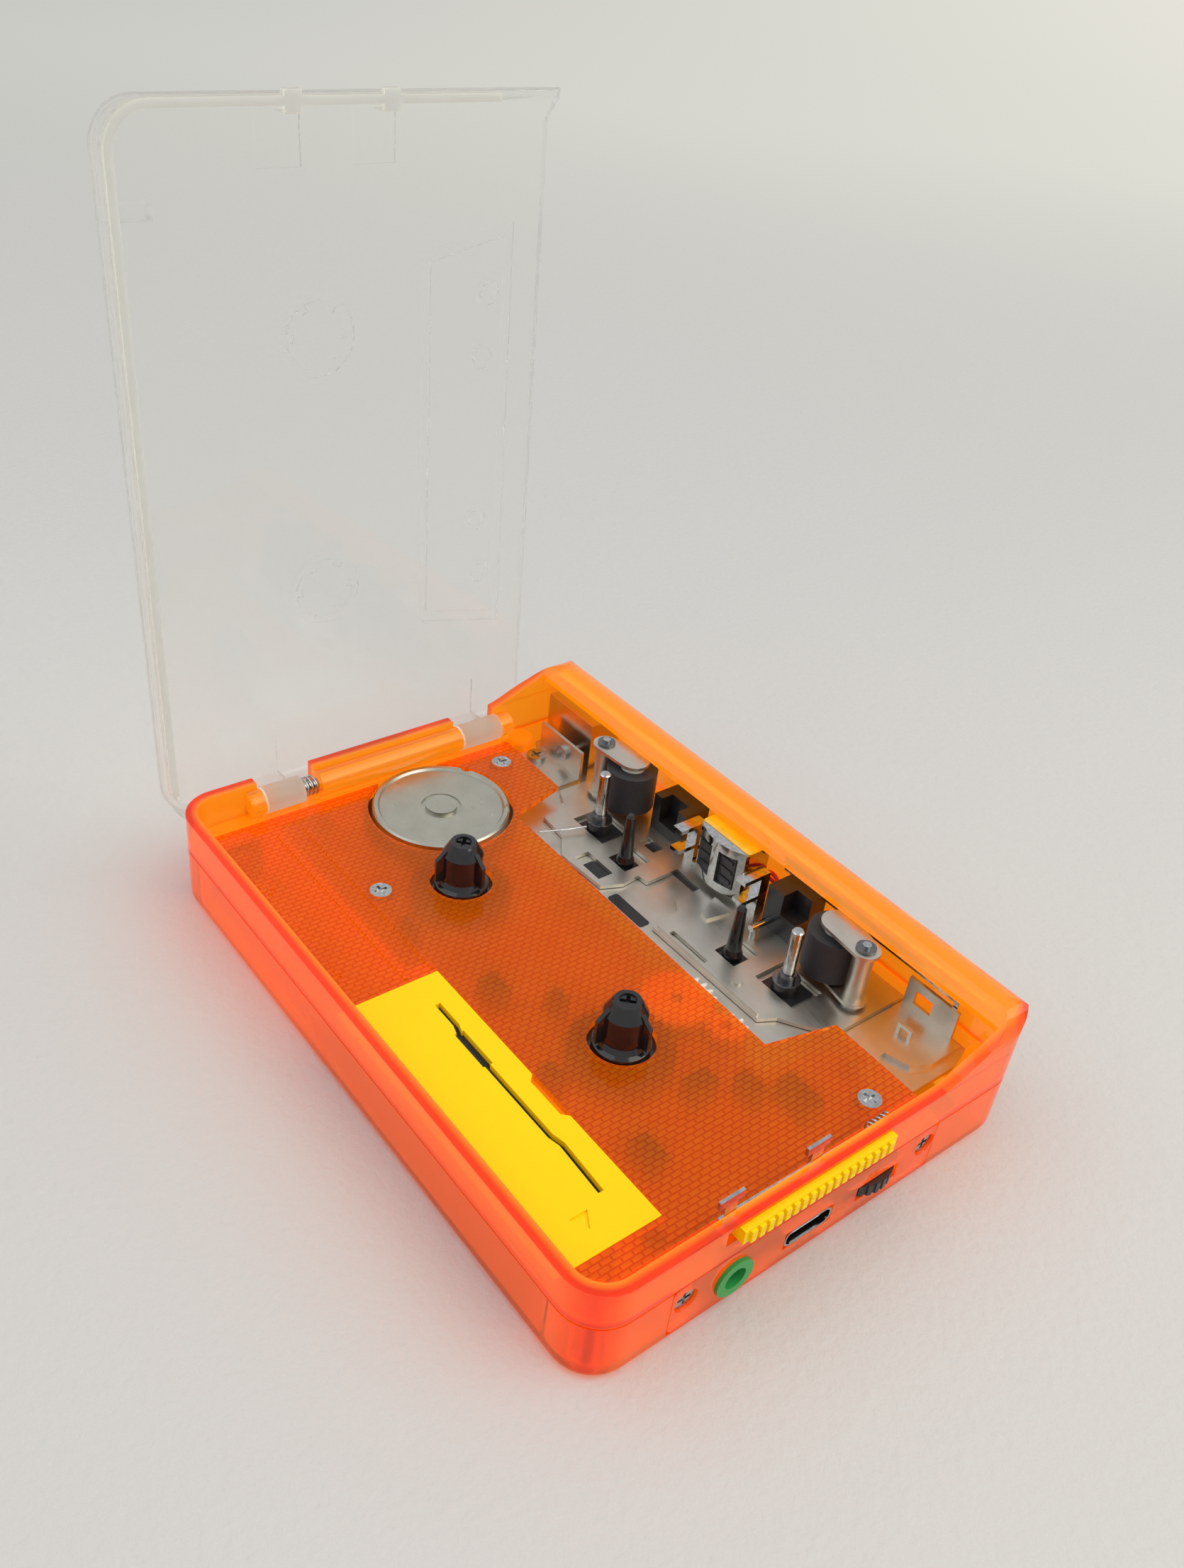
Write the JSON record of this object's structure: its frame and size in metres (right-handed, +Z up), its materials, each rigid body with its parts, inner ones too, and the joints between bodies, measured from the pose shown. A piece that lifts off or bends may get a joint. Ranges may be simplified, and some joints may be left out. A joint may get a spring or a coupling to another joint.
{
  "type": "portable cassette player",
  "caption": "Portable cassette player with a clear hinged lid standing open over its reel spindles, head, pinch rollers and motor.",
  "frame": {"origin": "centre of the flat bottom face", "axes": "+X from the hinge end to the control end, +Y from the battery side to the head side, +Z up"},
  "size_m": [0.127, 0.0839, 0.1238],
  "materials": {
    "clear_orange": "tinted clear, glossy",
    "clear_orange_flat": "tinted clear, glossy",
    "tray_orange": "tinted clear with a fine grain",
    "clear_lid": "water clear, glossy",
    "yellow_plastic": "satin",
    "bright_steel": "bright",
    "polished_steel": "polished",
    "zinc_steel": "zinc plated",
    "dark_steel": "dark plated",
    "black_plastic": "moulded",
    "dark_gloss": "glossy",
    "white_plastic": "natural acetal",
    "black_rubber": "matt",
    "brass_metal": "turned",
    "green_board": "solder mask",
    "green_plastic": "glossy"
  },
  "bodies": {
    "case": {"axle_pins": "bright_steel", "battery_contacts": "bright_steel", "bearing_collars": "dark_steel", "bearing_housings": "black_plastic", "bottom_screws": "bright_steel", "chassis_plate": "zinc_steel", "chassis_screws": "bright_steel", "circuit_board": "green_board", "corner_bracket": "zinc_steel", "deck_plate": "tray_orange", "deck_screws": "bright_steel", "drive_belt": "black_rubber", "end_panel": "clear_orange_flat", "end_panel_screws": "bright_steel", "headphone_jack": "black_plastic", "hinge_pin": "bright_steel", "jack_ring": "green_plastic", "key_strip": "bright_steel", "latch_spring": "bright_steel", "lid_spring": "bright_steel", "locating_cones": "black_plastic", "lower_shell": "clear_orange", "motor_can": "zinc_steel", "motor_collar": "black_rubber", "shield_bracket": "zinc_steel", "shield_can": "zinc_steel", "upper_shell": "clear_orange", "usb_foot": "black_plastic", "usb_socket": "bright_steel", "volume_control": "black_plastic", "wire_spring": "bright_steel"},
    "lid": {"lid": "clear_lid"},
    "battery_door": {"battery_door": "yellow_plastic"},
    "latch": {"release_slider": "yellow_plastic", "latch_plate": "zinc_steel"},
    "left_reel": {"left_reel_spindle": "dark_gloss"},
    "right_reel": {"right_reel_spindle": "dark_gloss"},
    "left_flywheel": {"left_capstan": "polished_steel"},
    "right_flywheel": {"right_capstan": "polished_steel"},
    "clutch": {"clutch_gear": "white_plastic"},
    "idler": {"idler_gear": "white_plastic"},
    "motor_rotor": {"motor_pulley": "brass_metal"},
    "head_slide": {"head_plate": "zinc_steel", "playback_head": "polished_steel", "head_core": "black_plastic", "tape_guides": "polished_steel", "guide_blocks": "black_plastic", "arm_pins": "bright_steel", "arm_clips": "dark_steel"},
    "left_arm": {"left_pinch_arm": "zinc_steel"},
    "right_arm": {"right_pinch_arm": "zinc_steel"},
    "left_roller": {"left_pinch_roller": "black_rubber", "left_roller_hub": "white_plastic"},
    "right_roller": {"right_pinch_roller": "black_rubber", "right_roller_hub": "white_plastic"},
    "volume": {"volume_wheel": "black_plastic"},
    "key_1": {"side_button_1": "yellow_plastic"},
    "key_2": {"side_button_2": "yellow_plastic"},
    "key_3": {"side_button_3": "yellow_plastic"},
    "key_4": {"side_button_4": "yellow_plastic"}
  },
  "joints": [
    {"name": "lid_hinge", "type": "hinge", "parent": "case", "child": "lid", "pos_m": [-0.054, 0, 0.01471], "axis": [0, 1, 0], "range_deg": [0, 92.2]},
    {"name": "battery_door_lift", "type": "slide", "parent": "case", "child": "battery_door", "axis": [0, 0, 1], "range_m": [0, 0.02]},
    {"name": "release_slide", "type": "slide", "parent": "case", "child": "latch", "axis": [0, -1, 0], "range_m": [0, 0.0018], "stiffness_N_per_m": 150},
    {"name": "left_reel_spin", "type": "hinge", "parent": "case", "child": "left_reel", "pos_m": [-0.02085, -0.00805, 0.01], "axis": [0, 0, 1], "continuous": true},
    {"name": "right_reel_spin", "type": "hinge", "parent": "case", "child": "right_reel", "pos_m": [0.02165, -0.00805, 0.01], "axis": [0, 0, 1], "continuous": true},
    {"name": "left_capstan_spin", "type": "hinge", "parent": "case", "child": "left_flywheel", "pos_m": [-0.02366, 0.02341, 0.01], "axis": [0, 0, 1], "continuous": true},
    {"name": "right_capstan_spin", "type": "hinge", "parent": "case", "child": "right_flywheel", "pos_m": [0.02446, 0.02341, 0.01], "axis": [0, 0, 1], "continuous": true},
    {"name": "clutch_spin", "type": "hinge", "parent": "case", "child": "clutch", "pos_m": [0.02715, 0.00814, 0.01], "axis": [0, 0, 1], "continuous": true},
    {"name": "idler_spin", "type": "hinge", "parent": "case", "child": "idler", "pos_m": [0.01852, 0.0056, 0.01], "axis": [0, 0, 1], "continuous": true},
    {"name": "motor_spin", "type": "hinge", "parent": "case", "child": "motor_rotor", "pos_m": [-0.04, 0.0003, 0.004], "axis": [0, 0, 1], "continuous": true},
    {"name": "head_slide", "type": "slide", "parent": "case", "child": "head_slide", "axis": [0, -1, 0], "range_m": [0, 0.0018], "stiffness_N_per_m": 120},
    {"name": "left_arm_swing", "type": "hinge", "parent": "head_slide", "child": "left_arm", "pos_m": [-0.03182, 0.03012, 0.015], "axis": [0, 0, 1], "range_deg": [-5, 3], "stiffness_Nm_per_rad": 0.002},
    {"name": "right_arm_swing", "type": "hinge", "parent": "head_slide", "child": "right_arm", "pos_m": [0.03262, 0.03012, 0.015], "axis": [0, 0, -1], "range_deg": [-5, 3], "stiffness_Nm_per_rad": 0.002},
    {"name": "left_roller_spin", "type": "hinge", "parent": "left_arm", "child": "left_roller", "pos_m": [-0.0252, 0.0312, 0.015], "axis": [0, 0, 1], "continuous": true},
    {"name": "right_roller_spin", "type": "hinge", "parent": "right_arm", "child": "right_roller", "pos_m": [0.026, 0.0312, 0.015], "axis": [0, 0, 1], "continuous": true},
    {"name": "volume_turn", "type": "hinge", "parent": "case", "child": "volume", "pos_m": [0.0518, 0.0104, 0.0057], "axis": [0, 0, 1], "range_deg": [-140, 140]},
    {"name": "key_1_press", "type": "slide", "parent": "case", "child": "key_1", "axis": [0, -1, 0], "range_m": [0, 0.0006], "stiffness_N_per_m": 400},
    {"name": "key_2_press", "type": "slide", "parent": "case", "child": "key_2", "axis": [0, -1, 0], "range_m": [0, 0.0006], "stiffness_N_per_m": 400},
    {"name": "key_3_press", "type": "slide", "parent": "case", "child": "key_3", "axis": [0, -1, 0], "range_m": [0, 0.0006], "stiffness_N_per_m": 400},
    {"name": "key_4_press", "type": "slide", "parent": "case", "child": "key_4", "axis": [0, -1, 0], "range_m": [0, 0.0006], "stiffness_N_per_m": 400}
  ],
  "couplings": [
    {"joint": "left_capstan_spin", "follows": "right_capstan_spin", "ratio": -1},
    {"joint": "motor_spin", "follows": "right_capstan_spin", "ratio": 4.1667},
    {"joint": "clutch_spin", "follows": "right_capstan_spin", "ratio": -0.29167},
    {"joint": "idler_spin", "follows": "right_capstan_spin", "ratio": 0.14583},
    {"joint": "right_reel_spin", "follows": "right_capstan_spin", "ratio": -0.10938}
  ]
}
